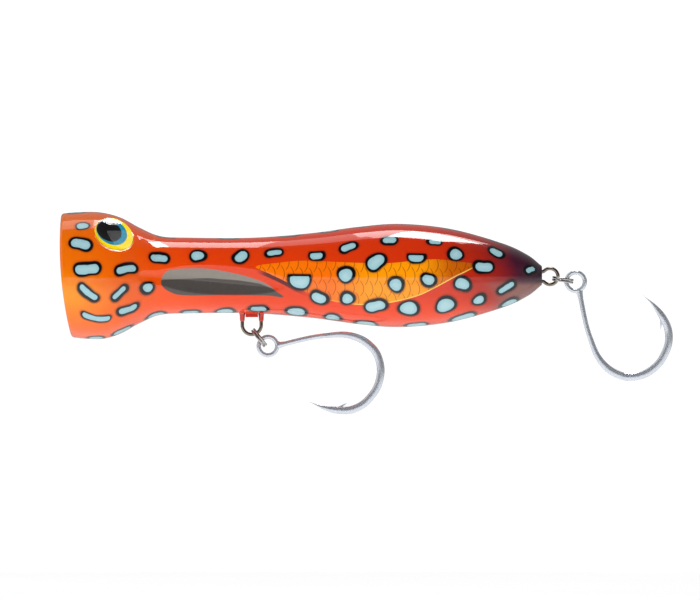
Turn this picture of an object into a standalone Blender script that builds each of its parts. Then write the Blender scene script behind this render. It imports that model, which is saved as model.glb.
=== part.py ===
"""A topwater popper: a hollow body in two halves with a cupped mouth, hung with two single hooks.

The origin is the middle of the line-tie eye, on the body's axis. +X runs to the tail, +Z to the back of
the lure and -Y to its left flank. Sizes are in millimetres, and are made metres as each mesh is built.
"""

import math

import bmesh
import bpy
from mathutils import Matrix, Vector

MM = 0.001
GAP = 0.3

# Body. Stations run back from the lip.
LIP_X = -6.0
BODY_LENGTH = 150.0
BODY_OUTLINE = (
    (0.9, 19.3), (5, 19.65), (12, 19.6), (18.5, 18.0), (24.6, 14.8), (31, 12.2), (40, 11.7), (60, 11.7),
    (78, 13.1), (93, 15.1), (106, 16.0), (121.7, 14.4), (137.6, 10.0), (145.5, 6.4), (BODY_LENGTH, 2.9),
)
BODY_SIDES = 48
LIP_RADIUS = 0.9
CUP_DEPTH = 13.0
MOUTH_ARC_TOP = 11.0
MOUTH_ARC_RADIUS = 133.0
MOUTH_ARC_REACH = 22.0
WALL = 2.2
HEAD_WALL = 5.5
HEAD_END, NECK_START = 19.0, 31.0
CAVITY_FRONT, CAVITY_END = 16.5, 139.0
RIB_STATIONS = (40, 76, 90, 106, 120)
RIB_THICKNESS = 1.6

# Flank scoops, each the bite of an ellipsoid that droops towards the tail.
SCOOP_STATION = 50.2
SCOOP_OUT = 17.54
SCOOP_HEIGHT = -2.6
SCOOP_LENGTH, SCOOP_RADIUS = 27.6, 8.5
SCOOP_DROOP = math.radians(5.6)

# Eyes. The axis leans up and back from the flank.
EYE_SPOT = (11.1, 13.2, 13.1)
EYE_AXIS = (0.36, 0.74, 0.57)
EYE_RADIUS = 6.15
EYE_DISC_THICKNESS = 0.8
SOCKET_DEPTH = 2.4
LENS_EDGE, LENS_RISE = 0.4, 2.4

# Wire, hangers and what sits on them.
WIRE = 1.1
NOSE_LOOP_RADIUS = 2.6
TAIL_LOOP_X, TAIL_LOOP_Z, TAIL_LOOP_RADIUS = 146.6, -0.3, 2.5
RETURN_Z = -1.6
RETURN_END = 126.0
HANGER_X, HANGER_HALF_WIDTH, HANGER_BOTTOM = 53.55, 2.95, -18.4
HANGER_TOP = -6.2

# Split rings. TILT turns each ring's front-to-back line down about Y.
RING_RADIUS = 3.0
RING_WIRE = 0.72
RING_PITCH = 0.78
BELLY_RING_MIDDLE, BELLY_RING_TILT = (55.83, 0, -19.4), 52.1
TAIL_RING_MIDDLE, TAIL_RING_TILT = (150.6, 0, -1.36), 8.6

# Hooks. X runs down the shank from the eye's middle and -Z to the point.
HOOK_EYE_RADIUS = 2.88
HOOK_EYE_WIRE = 1.35
HOOK_LINE = (
    (2.9, 0.6), (12.8, 0.75), (18.7, 1.4), (24.3, 2.6), (28.7, 5.2), (31.6, 9.0), (32.5, 12.6), (32.0, 16.8),
    (29.6, 21.1), (25.6, 24.3), (22.3, 25.5), (19.0, 25.6), (15.3, 24.5), (11.5, 22.6), (8.1, 20.0),
)
HOOK_WIRE = 2.1
BELLY_HOOK_EYE, BELLY_HOOK_TURN = (58.6, 0, -22.0), -14.4
TAIL_HOOK_EYE, TAIL_HOOK_TURN = (154.6, 0, -1.9), 79.6

# Inside: rattle and ballast.
RATTLE_Z, RATTLE_RADIUS, RATTLE_BORE = 6.0, 3.5, 2.8
RATTLE_START, RATTLE_END = 80.0, 106.0
RATTLE_END_WALL = 1.2
BALL_RADIUS, BALL_PITCH, BALL_COUNT = 2.4, 7.4, 3
KEEL_START, KEEL_END, KEEL_RADIUS, KEEL_Z = 66.0, 90.0, 3.25, -6.2
TAIL_WEIGHT_START, TAIL_WEIGHT_END, TAIL_WEIGHT_RADIUS = 115.5, 124.0, 4.5

ALONG_X = (0, math.radians(90), 0)

# Finishes: colour, roughness, metallic.
PAINTED_SHELL = ((0.62, 0.07, 0.01), 0.25, 0.0)
STAINLESS = ((0.55, 0.55, 0.56), 0.22, 1.0)
TINNED_STEEL = ((0.6, 0.61, 0.64), 0.3, 1.0)
EYE_PRINT = ((0.95, 0.75, 0.02), 0.3, 0.0)
CLEAR_RESIN = ((0.8, 0.85, 0.9), 0.05, 0.0)
CLEAR_TUBE = ((0.75, 0.77, 0.78), 0.2, 0.0)
LEAD = ((0.2, 0.2, 0.22), 0.5, 1.0)
BRASS = ((0.7, 0.5, 0.2), 0.3, 1.0)


def start():
    """Clears the scene and makes a collection for the lure and one for its cutters."""
    for thing in list(bpy.data.objects):
        bpy.data.objects.remove(thing, do_unlink=True)
    groups = []
    for name in ("topwater_popper", "cutters"):
        groups.append(bpy.data.collections.new(name))
        bpy.context.scene.collection.children.link(groups[-1])
    return groups


PARTS, CUTTERS = start()


def put(name, mesh, look=None):
    """An object for the mesh: a part with a finish of its own, or a cutter where no finish is given."""
    thing = bpy.data.objects.new(name, mesh)
    if look is None:
        CUTTERS.objects.link(thing)
        thing.hide_render = True
        thing.display_type = "WIRE"
        return thing
    PARTS.objects.link(thing)
    colour, roughness, metallic = look
    finish = bpy.data.materials.new(name + "_finish")
    finish.use_nodes = True
    shader = finish.node_tree.nodes["Principled BSDF"]
    shader.inputs["Base Color"].default_value = (*colour, 1.0)
    shader.inputs["Roughness"].default_value = roughness
    shader.inputs["Metallic"].default_value = metallic
    mesh.materials.append(finish)
    if mesh.polygons:
        mesh.shade_smooth()
        mesh.set_sharp_from_angle(angle=math.radians(40))
    return thing


def smooth(points, steps):
    """A Catmull-Rom line through the points, with the given steps to each span."""
    knots = [Vector(point) for point in points]
    knots = [2 * knots[0] - knots[1], *knots, 2 * knots[-1] - knots[-2]]
    line = []
    for a, b, c, d in zip(knots, knots[1:], knots[2:], knots[3:]):
        for step in range(steps):
            t = step / steps
            bend = (2 * a - 5 * b + 4 * c - d) * t**2 + (3 * b - a - 3 * c + d) * t**3
            line.append(0.5 * (2 * b + (c - a) * t + bend))
    return line + [knots[-2]]


def arc(x, z, radius, first, last, steps):
    """Points round a centre in the XZ plane, with the angles in degrees up from +X."""
    turns = [math.radians(first + (last - first) * step / steps) for step in range(steps + 1)]
    return [(x + radius * math.cos(turn), 0, z + radius * math.sin(turn)) for turn in turns]


def turned(name, outline, look=None, sides=24):
    """A turned solid about its own Z. The outline is (height, radius), from the top down its outer side."""
    closed = outline[0] == outline[-1]
    spots = outline[:-1] if closed else outline
    points = [(radius * MM, 0, height * MM) for height, radius in spots]
    edges = [(i, i + 1) for i in range(len(points) - 1)]
    if closed:
        edges.append((len(points) - 1, 0))
    mesh = bpy.data.meshes.new(name)
    mesh.from_pydata(points, edges, [])
    thing = put(name, mesh, look)
    spin = thing.modifiers.new("spin", "SCREW")
    spin.steps = spin.render_steps = sides
    spin.use_merge_vertices = True
    spin.merge_threshold = 0.000001
    return thing


def rod(name, low, high, radius, look=None, sides=24):
    """A turned cylinder between two heights."""
    return turned(name, [(high, 0), (high, radius), (low, radius), (low, 0)], look, sides)


def sleeve(name, low, high, radius, bore, look=None, sides=24):
    """A turned cylinder with a bore right through it."""
    outline = [(high, radius), (low, radius), (low, bore), (high, bore), (high, radius)]
    return turned(name, outline, look, sides)


def boxes(name, corners, look=None):
    """One mesh of boxes, each given by its lowest and highest corner."""
    shape = bmesh.new()
    for low, high in corners:
        low, high = Vector(low) * MM, Vector(high) * MM
        place = Matrix.Translation((low + high) / 2) @ Matrix.Diagonal((*(high - low), 1))
        bmesh.ops.create_cube(shape, size=1.0, matrix=place)
    mesh = bpy.data.meshes.new(name)
    shape.to_mesh(mesh)
    shape.free()
    return put(name, mesh, look)


def ball(name, middle, radii, look=None, sides=24, rings=16):
    """A sphere or ellipsoid."""
    shape = bmesh.new()
    size = Matrix.Diagonal((*(Vector(radii) * MM), 1))
    bmesh.ops.create_uvsphere(shape, u_segments=sides, v_segments=rings, radius=1.0, matrix=size)
    mesh = bpy.data.meshes.new(name)
    shape.to_mesh(mesh)
    shape.free()
    thing = put(name, mesh, look)
    thing.location = Vector(middle) * MM
    return thing


def tube(name, path, thickness, look=None, taper=None):
    """A closed tube along the path. The taper gives each point's share of the thickness."""
    curve = bpy.data.curves.new(name, "CURVE")
    curve.dimensions = "3D"
    curve.bevel_depth = thickness / 2 * MM
    curve.bevel_resolution = 2
    curve.use_fill_caps = True
    line = curve.splines.new("POLY")
    line.points.add(len(path) - 1)
    for i, spot in enumerate(path):
        line.points[i].co = (*(Vector(spot) * MM), 1)
        line.points[i].radius = taper[i] if taper else 1.0
    wire = bpy.data.objects.new(name + "_line", curve)
    CUTTERS.objects.link(wire)
    seen = wire.evaluated_get(bpy.context.evaluated_depsgraph_get())
    mesh = bpy.data.meshes.new_from_object(seen)
    mesh.name = name
    shape = bmesh.new()
    shape.from_mesh(mesh)
    bmesh.ops.remove_doubles(shape, verts=shape.verts, dist=0.000001)
    shape.to_mesh(mesh)
    shape.free()
    place = wire.matrix_world.copy()
    bpy.data.objects.remove(wire)
    bpy.data.curves.remove(curve)
    thing = put(name, mesh, look)
    thing.matrix_world = place
    return thing


def combine(thing, other, operation):
    """Joins the other solid to the thing, or cuts it away, or keeps what they share."""
    step = thing.modifiers.new(other.name, "BOOLEAN")
    step.operation = operation
    step.solver = "EXACT"
    step.object = other


def hinge(name, spot, parent=None):
    """An empty on a joint's axis."""
    pin = bpy.data.objects.new(name, None)
    PARTS.objects.link(pin)
    hang(pin, parent, spot)
    return pin


def hang(thing, parent, spot, turn=(0, 0, 0)):
    """Places the thing at a spot of the whole lure, under a parent that isn't turned."""
    thing.parent = parent
    place = Vector(spot) * MM
    while parent:
        place -= parent.location
        parent = parent.parent
    thing.location = place
    thing.rotation_euler = turn


def ease(low, high, value):
    """0 below low, 1 above high, and a smooth rise between."""
    t = min(max((value - low) / (high - low), 0), 1)
    return t * t * (3 - 2 * t)


def body_radius(station, line=smooth(BODY_OUTLINE, 4)):
    """The outer radius at a station behind the lip."""
    for a, b in zip(line, line[1:]):
        if station <= b[0]:
            return a[1] + (b[1] - a[1]) * (station - a[0]) / (b[0] - a[0])
    return line[-1][1]


def body_blank():
    """The body as one turned solid with its cup. The mouth's rim is then swept back towards the chin."""
    outside = [(LIP_X + s, r) for s, r in reversed(smooth(BODY_OUTLINE, 2))]
    lip_middle = BODY_OUTLINE[0][1] - LIP_RADIUS
    lip = []
    for turn in (45, 90, 135, 180):
        a = math.radians(turn)
        lip.append((LIP_X + LIP_RADIUS * (1 - math.sin(a)), lip_middle + LIP_RADIUS * math.cos(a)))
    cup = []
    for turn in range(80, -1, -10):
        a = math.radians(turn)
        cup.append((LIP_X + LIP_RADIUS + (CUP_DEPTH - LIP_RADIUS) * math.cos(a), lip[-1][1] * math.sin(a)))
    tail_face = [(LIP_X + BODY_LENGTH, 0)]
    lathe = turned("body_lathe", tail_face + outside + lip + cup, sides=BODY_SIDES)
    lathe.rotation_euler = ALONG_X
    bpy.context.view_layer.update()
    seen = lathe.evaluated_get(bpy.context.evaluated_depsgraph_get())
    mesh = bpy.data.meshes.new_from_object(seen)
    mesh.transform(lathe.matrix_world)
    bpy.data.objects.remove(lathe)
    for point in mesh.vertices:
        drop = (point.co.z / MM - MOUTH_ARC_TOP) ** 2 / (2 * MOUTH_ARC_RADIUS)
        point.co.x += MM * drop * (1 - ease(0, MOUTH_ARC_REACH, point.co.x / MM - LIP_X))
    return mesh


def cavity():
    """The hollow inside, left solid at the ribs, the hanger's boss and behind the flank scoops."""
    stations = (19, 22, 25, 28, 31, 40, 50, 60, 72, 84, 96, 108, 120, 130, CAVITY_END)
    outline = [(LIP_X + CAVITY_END, 0)]
    for station in reversed(stations):
        wall = WALL + (HEAD_WALL - WALL) * (1 - ease(HEAD_END, NECK_START, station))
        outline.append((LIP_X + station, body_radius(station) - wall))
    outline += [(LIP_X + CAVITY_FRONT + 0.8, 9.0), (LIP_X + CAVITY_FRONT, 0)]
    hollow = turned("cavity", outline, sides=32)
    hollow.rotation_euler = ALONG_X
    half_rib = RIB_THICKNESS / 2
    ribs = []
    for station in RIB_STATIONS:
        x = LIP_X + station
        ribs.append(((x - half_rib, -20, -20), (x + half_rib, 20, 20)))
    combine(hollow, boxes("ribs", ribs), "DIFFERENCE")
    boss = ((HANGER_X - 8, -3.4, -20), (HANGER_X + 8, 3.4, HANGER_TOP + 2))
    combine(hollow, boxes("hanger_boss", [boss]), "DIFFERENCE")
    for side in (-1, 1):
        combine(hollow, scoop(side, WALL - 0.3), "DIFFERENCE")
    return hollow


def scoop(side, grow=0.0):
    """The ellipsoid that bites one flank's scoop, made larger by the wall it is to leave."""
    name = ("left" if side < 0 else "right") + ("_scoop_wall" if grow else "_scoop")
    radii = (SCOOP_LENGTH + grow, SCOOP_RADIUS + grow, SCOOP_RADIUS + grow)
    bite = ball(name, (LIP_X + SCOOP_STATION, side * SCOOP_OUT, SCOOP_HEIGHT), radii, sides=32, rings=20)
    bite.rotation_euler.y = SCOOP_DROOP
    return bite


def face_eye(thing, side):
    """Places a piece that is turned about Z on one eye's axis."""
    axis = Vector((EYE_AXIS[0], side * EYE_AXIS[1], EYE_AXIS[2]))
    thing.location = Vector((EYE_SPOT[0], side * EYE_SPOT[1], EYE_SPOT[2])) * MM
    thing.rotation_mode = "QUATERNION"
    thing.rotation_quaternion = axis.to_track_quat("Z", "Y")


def wire_run():
    """The through wire's line from the line-tie eye to the tail's upper leg."""
    return [(3.4, 0, 0.5), (4.8, 0, 0), (RETURN_END + 8, 0, 0), (143.4, 0, 1.45)]


def return_run():
    """The through wire's line from the tail's lower leg to its end beside the straight run."""
    return [(143.4, 0, -2.05), (RETURN_END + 9, 0, RETURN_Z), (RETURN_END, 0, RETURN_Z)]


def hanger_path():
    """The belly hanger's line: feet bent fore and aft, two legs and a round bottom."""
    bottom = arc(HANGER_X, HANGER_BOTTOM + HANGER_HALF_WIDTH, HANGER_HALF_WIDTH, 180, 360, 10)
    front = arc(HANGER_X - HANGER_HALF_WIDTH - 1.2, HANGER_TOP - 1.2, 1.2, 90, 0, 3)
    back = arc(HANGER_X + HANGER_HALF_WIDTH + 1.2, HANGER_TOP - 1.2, 1.2, 180, 90, 3)
    foot = HANGER_HALF_WIDTH + 4
    return [(HANGER_X - foot, 0, HANGER_TOP)] + front + bottom + back + [(HANGER_X + foot, 0, HANGER_TOP)]


def shells():
    """The two halves of the body, each cut from the same blank."""
    blank = body_blank()
    clear = WIRE + 2 * GAP
    plinth = boxes("hanger_plinth", [((HANGER_X - 1.95, -1.2, -13.0), (HANGER_X + 1.95, 1.2, -9.0))])
    shared = [
        cavity(),
        tube("wire_channel", wire_run()[1:] + [(146, 0, 1.9)], clear),
        tube("return_channel", [(146, 0, -2.5)] + return_run(), clear),
        tube("hanger_channel", hanger_path(), clear),
        rod("ferrule_hole", 2.0, LIP_X + CAVITY_FRONT + 1, 1.6 + GAP),
        rod("rattle_hole", RATTLE_START - GAP, RATTLE_END + 2, RATTLE_RADIUS + GAP),
        rod("keel_hole", KEEL_START - GAP, KEEL_END + GAP, KEEL_RADIUS + GAP),
    ]
    for cutter, z in zip(shared[4:], (0, RATTLE_Z, KEEL_Z)):
        cutter.rotation_euler = ALONG_X
        cutter.location.z = z * MM
    for side, name in ((-1, "body_shell_left"), (1, "body_shell_right")):
        shell = put(name, blank.copy(), PAINTED_SHELL)
        combine(shell, plinth, "UNION")
        near, far = sorted((side * GAP / 2, side * 60))
        half = boxes(name + "_half", [((-20, near, -60), (160, far, 60))])
        combine(shell, half, "INTERSECT")
        socket = rod(name + "_socket", -SOCKET_DEPTH, 6.0, EYE_RADIUS + GAP, sides=32)
        face_eye(socket, side)
        for cutter in [scoop(side), socket, *shared]:
            combine(shell, cutter, "DIFFERENCE")


def eyes():
    """A printed disc under a clear domed lens, in each socket."""
    for side, word in ((-1, "left"), (1, "right")):
        low = GAP - SOCKET_DEPTH
        disc = rod("eye_disc_" + word, low, low + EYE_DISC_THICKNESS, EYE_RADIUS, EYE_PRINT, sides=28)
        face_eye(disc, side)
        base = low + EYE_DISC_THICKNESS + GAP
        edge = base + LENS_EDGE
        dome = []
        for turn in (90, 72, 54, 36, 18, 0):
            a = math.radians(turn)
            dome.append((edge + LENS_RISE * math.sin(a), EYE_RADIUS * math.cos(a)))
        outline = dome + [(base, EYE_RADIUS), (base, 0)]
        face_eye(turned("eye_lens_" + word, outline, CLEAR_RESIN, sides=28), side)


def wires():
    """The through wire with its two loops, its ferrule and crimp, and the belly hanger."""
    nose = arc(0, 0, NOSE_LOOP_RADIUS, -32, -330, 18)
    tail = arc(TAIL_LOOP_X, TAIL_LOOP_Z, TAIL_LOOP_RADIUS, 125, -125, 16)
    tube("through_wire", nose + wire_run() + tail + return_run(), WIRE, STAINLESS)
    tube("belly_hanger", hanger_path(), WIRE, STAINLESS)

    bore = WIRE / 2 + GAP
    flange, barrel = 2.6, 1.6
    front, seat, back = 5.9, 6.7, 10.2
    outline = [(back, barrel), (seat, barrel), (seat, flange), (front, flange), (front, bore), (back, bore)]
    ferrule = turned("nose_ferrule", outline + outline[:1], BRASS, sides=20)
    ferrule.rotation_euler = ALONG_X

    sleeve_box = ((RETURN_END + 0.6, -1.5, RETURN_Z - 1.5), (RETURN_END + 5.6, 1.5, 1.5))
    crimp = boxes("wire_crimp", [sleeve_box], LEAD)
    bevel = crimp.modifiers.new("round", "BEVEL")
    bevel.width = 1.2 * MM
    bevel.segments = 3
    slot = boxes("crimp_slot", [((RETURN_END - 2, -bore, RETURN_Z - bore), (RETURN_END + 8, bore, bore))])
    combine(crimp, slot, "DIFFERENCE")


def inside():
    """The rattle, with a ball in each third of its tube, and the two weights."""
    end = RATTLE_END - RATTLE_END_WALL
    outline = [
        (RATTLE_END, 0), (RATTLE_END, RATTLE_RADIUS), (RATTLE_START, RATTLE_RADIUS),
        (RATTLE_START, RATTLE_BORE), (end, RATTLE_BORE), (end, 0),
    ]
    spigot = 2.0
    plug_line = [
        (RATTLE_START + spigot, 0), (RATTLE_START + spigot, RATTLE_BORE - GAP),
        (RATTLE_START - GAP, RATTLE_BORE - GAP), (RATTLE_START - GAP, RATTLE_RADIUS),
        (RATTLE_START - 1.5, RATTLE_RADIUS), (RATTLE_START - 1.5, 0),
    ]
    bore = WIRE / 2 + GAP
    pieces = [
        (turned("rattle_tube", outline, CLEAR_TUBE), RATTLE_Z),
        (turned("rattle_plug", plug_line, CLEAR_TUBE), RATTLE_Z),
        (rod("keel_weight", KEEL_START, KEEL_END, KEEL_RADIUS, LEAD), KEEL_Z),
        (sleeve("tail_weight", TAIL_WEIGHT_START, TAIL_WEIGHT_END, TAIL_WEIGHT_RADIUS, bore, LEAD), 0),
    ]
    for piece, z in pieces:
        piece.rotation_euler = ALONG_X
        piece.location.z = z * MM
    first = (RATTLE_START + spigot + end - BALL_PITCH * (BALL_COUNT - 1)) / 2
    for i in range(BALL_COUNT):
        spot = (first + i * BALL_PITCH, 0, RATTLE_Z)
        ball(f"rattle_ball_{i + 1}", spot, (BALL_RADIUS,) * 3, STAINLESS, sides=16, rings=10)


def split_ring(name):
    """A ring of two flat turns of wire that cross in one short step, about its own Z."""
    step_half, end_gap = 22, 28
    path = []
    for turn in range(end_gap, 721 - end_gap, 14):
        a = math.radians(turn)
        height = RING_PITCH * (ease(360 - step_half, 360 + step_half, turn) - 0.5)
        path.append((RING_RADIUS * math.sin(a), RING_RADIUS * math.cos(a), height))
    return tube(name, path, RING_WIRE, STAINLESS)


def hook(name):
    """A single inline hook: an eye, a shank, a round bend and a barbed point."""
    path = [(x, 0, -drop) for x, drop in smooth(HOOK_LINE, 3)]
    last = len(path) - 1
    taper = []
    for i in range(last + 1):
        share = i / last
        thick = 0.72 + 0.28 * ease(0.1, 0.35, share)
        taper.append(max(thick * (1 - ease(0.82, 1.02, share)), 0.12))
    piece = tube(name, path, HOOK_WIRE, TINNED_STEEL, taper)
    eye = tube(name + "_eye", arc(0, 0, HOOK_EYE_RADIUS, 4, 356, 20), HOOK_EYE_WIRE)
    neck = tube(name + "_neck", [(1.9, 0, 0), (2.9, 0, -0.3), (3.9, 0, -0.6)], HOOK_EYE_WIRE * 1.02)
    barb = tube(name + "_barb", [(15.4, 0, -24.3), (19.9, 0, -23.2)], 1.2, taper=[1.0, 0.15])
    for part in (eye, neck, barb):
        combine(piece, part, "UNION")
        part.parent = piece
    return piece


def end_of_ring(middle, tilt, side):
    """Where a tilted ring's wire crosses the lure's middle plane, at its front (-1) or back (1)."""
    a = math.radians(tilt)
    return Vector(middle) + side * RING_RADIUS * Vector((math.cos(a), 0, -math.sin(a)))


def terminal(word, pin_spot, ring_middle, ring_tilt, eye, turn, roll):
    """One hanger's split ring on its hinge, and the hook on a hinge at the ring's far wire."""
    ring_pin = hinge(word + "_ring_hinge", pin_spot)
    hang(split_ring(word + "_split_ring"), ring_pin, ring_middle, (0, math.radians(ring_tilt), 0))
    hook_pin = hinge(word + "_hook_hinge", end_of_ring(ring_middle, ring_tilt, 1), ring_pin)
    hang(hook(word + "_hook"), hook_pin, eye, (math.radians(roll), math.radians(turn), 0))


def main():
    shells()
    eyes()
    wires()
    inside()
    terminal(
        "belly", (HANGER_X, 0, HANGER_BOTTOM), BELLY_RING_MIDDLE, BELLY_RING_TILT,
        BELLY_HOOK_EYE, BELLY_HOOK_TURN, 0,
    )
    terminal(
        "tail", (TAIL_LOOP_X + TAIL_LOOP_RADIUS, 0, TAIL_LOOP_Z), TAIL_RING_MIDDLE, TAIL_RING_TILT,
        TAIL_HOOK_EYE, TAIL_HOOK_TURN, 180,
    )


main()
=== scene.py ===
"""A topwater popper in orange and red with pale blue spots: its painted coat, eyes, wire, rings and hooks."""

import math
import random

import bmesh
import bpy
import numpy as np
from mathutils import Matrix, Vector


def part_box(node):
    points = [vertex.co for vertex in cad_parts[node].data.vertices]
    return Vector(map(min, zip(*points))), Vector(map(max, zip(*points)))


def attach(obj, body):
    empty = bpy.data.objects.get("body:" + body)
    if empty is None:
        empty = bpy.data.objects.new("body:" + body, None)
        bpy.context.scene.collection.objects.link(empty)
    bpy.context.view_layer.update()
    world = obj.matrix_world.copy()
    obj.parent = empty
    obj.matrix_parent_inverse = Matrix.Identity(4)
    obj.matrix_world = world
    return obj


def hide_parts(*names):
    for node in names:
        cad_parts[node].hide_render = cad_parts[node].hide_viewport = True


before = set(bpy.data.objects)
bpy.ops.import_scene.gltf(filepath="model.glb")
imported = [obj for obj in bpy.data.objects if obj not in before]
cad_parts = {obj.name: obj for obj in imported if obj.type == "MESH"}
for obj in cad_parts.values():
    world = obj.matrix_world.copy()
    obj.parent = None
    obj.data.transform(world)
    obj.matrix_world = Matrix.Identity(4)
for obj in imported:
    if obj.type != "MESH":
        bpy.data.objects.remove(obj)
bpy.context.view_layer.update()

MM = 0.001

# Body, in millimetres. Stations run back from the lip.
LIP_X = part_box("body_shell_left")[0].x / MM
BODY_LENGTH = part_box("body_shell_left")[1].x / MM - LIP_X
OUTLINE = (
    (0.9, 19.3), (5, 19.65), (12, 19.6), (18.5, 18.0), (24.6, 14.8), (31, 12.2), (40, 11.7), (60, 11.7),
    (78, 13.1), (93, 15.1), (106, 16.0), (121.7, 14.4), (137.6, 10.0), (145.5, 6.4), (150, 2.9),
)
LIP_RADIUS = 0.9
CUP_DEPTH = 13.0
# The mouth bows back below its top: the height it starts from, the bow's radius, and how far back it reaches.
MOUTH_TOP, MOUTH_ARC, MOUTH_REACH = 11.0, 133.0, 22.0
# The coat stands off the shell, has a wall of its own, and rises over the foil. The halves part by the seam.
COAT = 0.1
COAT_WALL = 0.07
FOIL_RISE = 0.12
SEAM_GAP = 0.01
HALF_TURN_STEPS = 100
SPAN_STEPS = 22

# Flank scoop, bitten by an ellipsoid, and the grey patch painted on its floor: station, height.
SCOOP_MIDDLE = (50.2, 17.54, -2.6)
SCOOP_RADII = (27.45, 8.35, 8.35)
SCOOP_DROOP = 5.6
SCOOP_EDGE = 0.18
PATCH = (
    (31.4, -1.8), (32.7, 0.9), (35.8, 2.0), (44.9, 2.3), (54.3, 0.7), (62.7, -2.2), (67.2, -5.0),
    (69.4, -6.8), (64.0, -6.2), (50.0, -6.1), (38.0, -6.1), (34.0, -5.0), (31.9, -3.4),
)
# Foil leaf behind the waist: station, height.
LEAF = (
    (60.8, 2.8), (68.5, 4.0), (76.4, 4.6), (90.0, 4.0), (102.0, 3.8), (110.0, 4.6), (117.0, 5.0),
    (124.0, 4.3), (129.4, 3.1), (122.5, -0.7), (116.0, -4.2), (110.8, -6.5), (102.3, -8.5), (93.0, -9.1),
    (84.2, -7.8), (78.0, -5.8), (70.2, -1.9), (65.0, 0.6),
)
# Spots on a flank: station, height, length, seen height, tilt, bend, share cut flat off the top.
SPOTS = (
    (6.9, 15.4, 4.6, 2.4, 15, 0, 0), (6.6, 9.8, 7.8, 4.1, -12, 0, 0), (8.3, 2.1, 9.2, 4.5, 3, 0.01, 0),
    (8.1, -5.4, 8.6, 3.5, -40, 0.035, 0), (10.0, -13.2, 11.0, 2.2, -12, 0.03, 0),
    (20.5, 2.0, 7.8, 3.7, 13, -0.02, 0), (18.4, -5.5, 6.8, 3.0, 40, 0, 0),
    (20.9, -10.6, 7.4, 3.0, 0, 0.05, 0),
    (27.1, -3.9, 4.6, 4.3, 0, 0, 0), (30.9, 5.5, 7.0, 3.5, 0, 0, 0), (42.9, 6.1, 5.5, 4.1, 15, 0, 0),
    (56.2, 5.9, 6.2, 3.9, 45, 0, 0), (66.5, 7.1, 6.3, 2.8, 3, 0, 0), (79.9, 6.4, 5.7, 3.8, 0, 0, 0.4),
    (89.7, 8.8, 6.3, 3.2, 20, 0, 0), (98.3, 4.2, 7.5, 5.0, 38, 0, 0), (102.5, 10.9, 5.9, 3.0, 0, 0, 0),
    (110.9, 5.7, 6.2, 4.2, 0, 0, 0.45), (116.5, 10.6, 5.3, 2.6, 0, 0, 0), (74.5, -1.3, 8.0, 6.2, 0, 0, 0.45),
    (89.0, 0.35, 6.0, 5.3, 30, 0, 0), (104.6, -2.7, 5.5, 5.2, 0, 0, 0), (114.6, -1.4, 5.4, 4.6, -10, 0, 0),
    (80.7, -6.9, 6.3, 4.2, -18, 0, 0), (89.4, -7.0, 5.0, 4.4, 70, 0, 0), (98.2, -9.4, 7.8, 4.2, 22, 0, 0),
    (108.6, -10.3, 6.9, 5.0, 8, 0, 0), (120.0, -9.2, 7.1, 5.0, 10, 0, 0), (123.0, 6.7, 5.6, 4.4, 50, 0, 0),
    (135.8, 7.2, 5.7, 3.0, -18, 0, 0), (131.7, 2.7, 6.9, 4.3, 0, 0, 0), (146.4, 1.8, 4.7, 2.9, 35, 0, 0),
    (125.3, -2.6, 6.2, 4.7, -15, 0, 0), (139.0, -3.7, 7.0, 3.1, 28, 0, 0), (130.5, -7.5, 5.0, 3.6, 0, 0, 0),
)
# Spots near the back and the belly, past the flank's edges: station, degrees up, length, width.
EDGE_SPOTS = (
    (8.9, -80, 6.4, 4.2), (18.7, -76, 6.6, 4.0), (29.6, -76, 5.8, 4.2), (40.5, -77, 6.0, 4.0),
    (51.4, -74, 6.0, 4.2), (61.7, -62, 6.0, 3.6), (73.5, -64, 6.6, 5.0), (84.9, -69, 5.4, 4.4),
    (95.2, -77, 6.8, 5.0), (110.8, -78, 6.8, 5.0), (125.4, -74, 8.0, 5.4), (139.8, -68, 5.4, 3.6),
    (4.5, 84, 5.2, 3.0), (32.8, 84, 5.6, 3.6), (52.4, 84, 5.6, 3.8), (71.5, 83, 5.8, 3.8),
    (83.9, 83, 5.4, 3.6), (94.0, 86, 5.6, 3.6), (108.0, 88, 6.0, 4.0), (122.0, 86, 5.6, 3.8),
    (136.0, 84, 5.0, 3.2),
)
RIM = 0.85

# Eye: its middle and axis on the right flank, which the left one mirrors, its socket's depth, and the
# print's iris and pupil: middle on the disc and radius.
EYE_SPOT = (11.1, 13.2, 13.1)
EYE_AXIS = (0.36, 0.74, 0.57)
EYE_RADIUS = 6.4
SOCKET_DEPTH = -6
EYE_STEPS = 72
EYE_BASE = -2.1
PRINT_HEIGHT = -0.9
LENS_TOP = 0.9
IRIS = (-0.84, 0.72, 5.0)
PUPIL = (-1.75, 0.78, 4.05)

# Wire: half-thickness, the nose loop's radius, the tail loop's middle and radius, where its two legs part,
# and the leg that comes back.
WIRE = 0.55
NOSE_LOOP = 2.6
TAIL_LOOP = (146.6, -0.3, 2.5)
TAIL_NECK = 143.2
RETURN_Z, RETURN_END = -1.6, 126.0
# Hanger: middle, bottom, half the width between its legs, and the height of its feet.
HANGER = (53.55, -18.4, 2.95, -6.2)
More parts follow.
